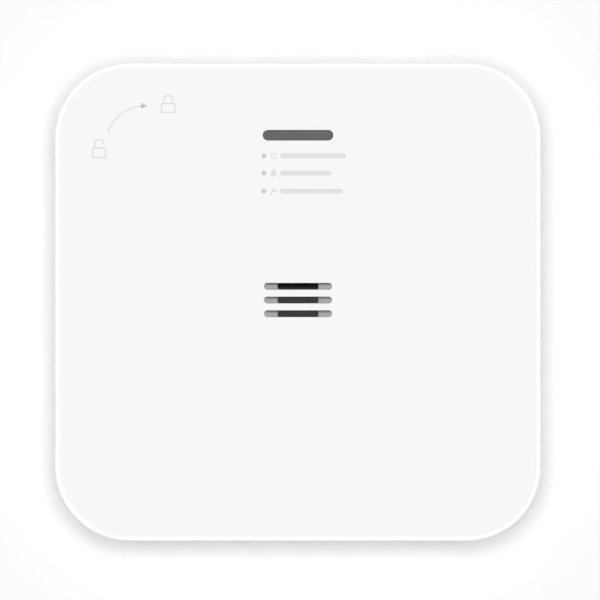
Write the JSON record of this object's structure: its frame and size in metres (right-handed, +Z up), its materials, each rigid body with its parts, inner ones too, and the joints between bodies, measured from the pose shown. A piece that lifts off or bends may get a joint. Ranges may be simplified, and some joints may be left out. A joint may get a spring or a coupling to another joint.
{
  "type": "carbon monoxide detector",
  "caption": "Square wall-mounted carbon monoxide detector with round corners, a front sounder grille, a light bar and a twist-on wall bracket.",
  "frame": {"origin": "middle of the bracket's wall side, on the wall surface", "axes": "+Z up, +X to the right seen from the front, the front faces -Y and +Y goes into the wall"},
  "size_m": [0.1, 0.034, 0.0984],
  "materials": {
    "white_shell": "finely textured white moulded plastic",
    "bracket_plastic": "plain white moulded plastic",
    "button_plastic": "satin white moulded plastic",
    "smoked_lens": "smoked translucent grey",
    "clear_guide": "clear moulded acrylic",
    "dark_mesh": "fine woven dust mesh",
    "board_green": "green solder mask",
    "screw_steel": "zinc-plated steel",
    "sensor_steel": "drawn stainless steel",
    "black_plastic": "black moulded plastic",
    "black_foam": "closed-cell foam",
    "gold_pins": "gold-plated",
    "sounder_brass": "rolled brass",
    "white_ceramic": "silvered ceramic",
    "red_wire": "red insulation",
    "black_wire": "black insulation",
    "green_lamp": "tinted resin",
    "red_lamp": "tinted resin",
    "yellow_lamp": "tinted resin",
    "grey_plastic": "grey moulded plastic",
    "cell_sleeve": "shrink sleeve over a steel can",
    "contact_nickel": "nickel-plated spring steel",
    "capacitor_aluminium": "drawn aluminium can",
    "ferrite": "dark ferrite",
    "chip_tan": "tan ceramic with tinned ends",
    "label_paper": "satin film label"
  },
  "bodies": {
    "bracket": {"mounting_bracket": "bracket_plastic"},
    "detector": {"rear_housing": "white_shell", "front_cover": "white_shell", "light_bar": "smoked_lens", "light_guide": "clear_guide", "dust_mesh": "dark_mesh", "circuit_board": "board_green", "cover_screws": "screw_steel", "board_screws": "screw_steel", "co_sensor_can": "sensor_steel", "co_sensor_filter": "black_foam", "co_sensor_base": "grey_plastic", "co_sensor_pins": "gold_pins", "co_sensor_gasket": "black_foam", "sounder_housing": "black_plastic", "sounder_lid": "black_plastic", "sounder_disc": "sounder_brass", "sounder_ceramic": "white_ceramic", "sounder_foam_ring": "black_foam", "sounder_wire_red": "red_wire", "sounder_wire_black": "black_wire", "lamp_green": "green_lamp", "lamp_red": "red_lamp", "lamp_yellow": "yellow_lamp", "switch_body": "grey_plastic", "battery_upper": "cell_sleeve", "battery_lower": "cell_sleeve", "positive_contact": "contact_nickel", "negative_contact": "contact_nickel", "negative_spring": "contact_nickel", "bridge_contact": "contact_nickel", "bridge_spring": "contact_nickel", "microcontroller": "black_plastic", "amplifier_chip": "black_plastic", "boost_coil": "ferrite", "storage_capacitor": "capacitor_aluminium", "chip_resistors": "black_plastic", "chip_capacitors": "chip_tan", "rating_label": "label_paper"},
    "button": {"test_button": "button_plastic"},
    "plunger": {"switch_plunger": "black_plastic"}
  },
  "joints": [
    {"name": "twist_lock", "type": "hinge", "parent": "bracket", "child": "detector", "pos_m": [0, 0, 0], "axis": [0, -1, 0], "range_deg": [0, 18]},
    {"name": "button_press", "type": "slide", "parent": "detector", "child": "button", "axis": [-1, 0, 0], "range_m": [0, 0.0005], "stiffness_N_per_m": 300},
    {"name": "plunger_press", "type": "slide", "parent": "detector", "child": "plunger", "axis": [-1, 0, 0], "range_m": [0, 0.0005]}
  ],
  "couplings": [
    {"joint": "plunger_press", "follows": "button_press", "ratio": 1}
  ]
}
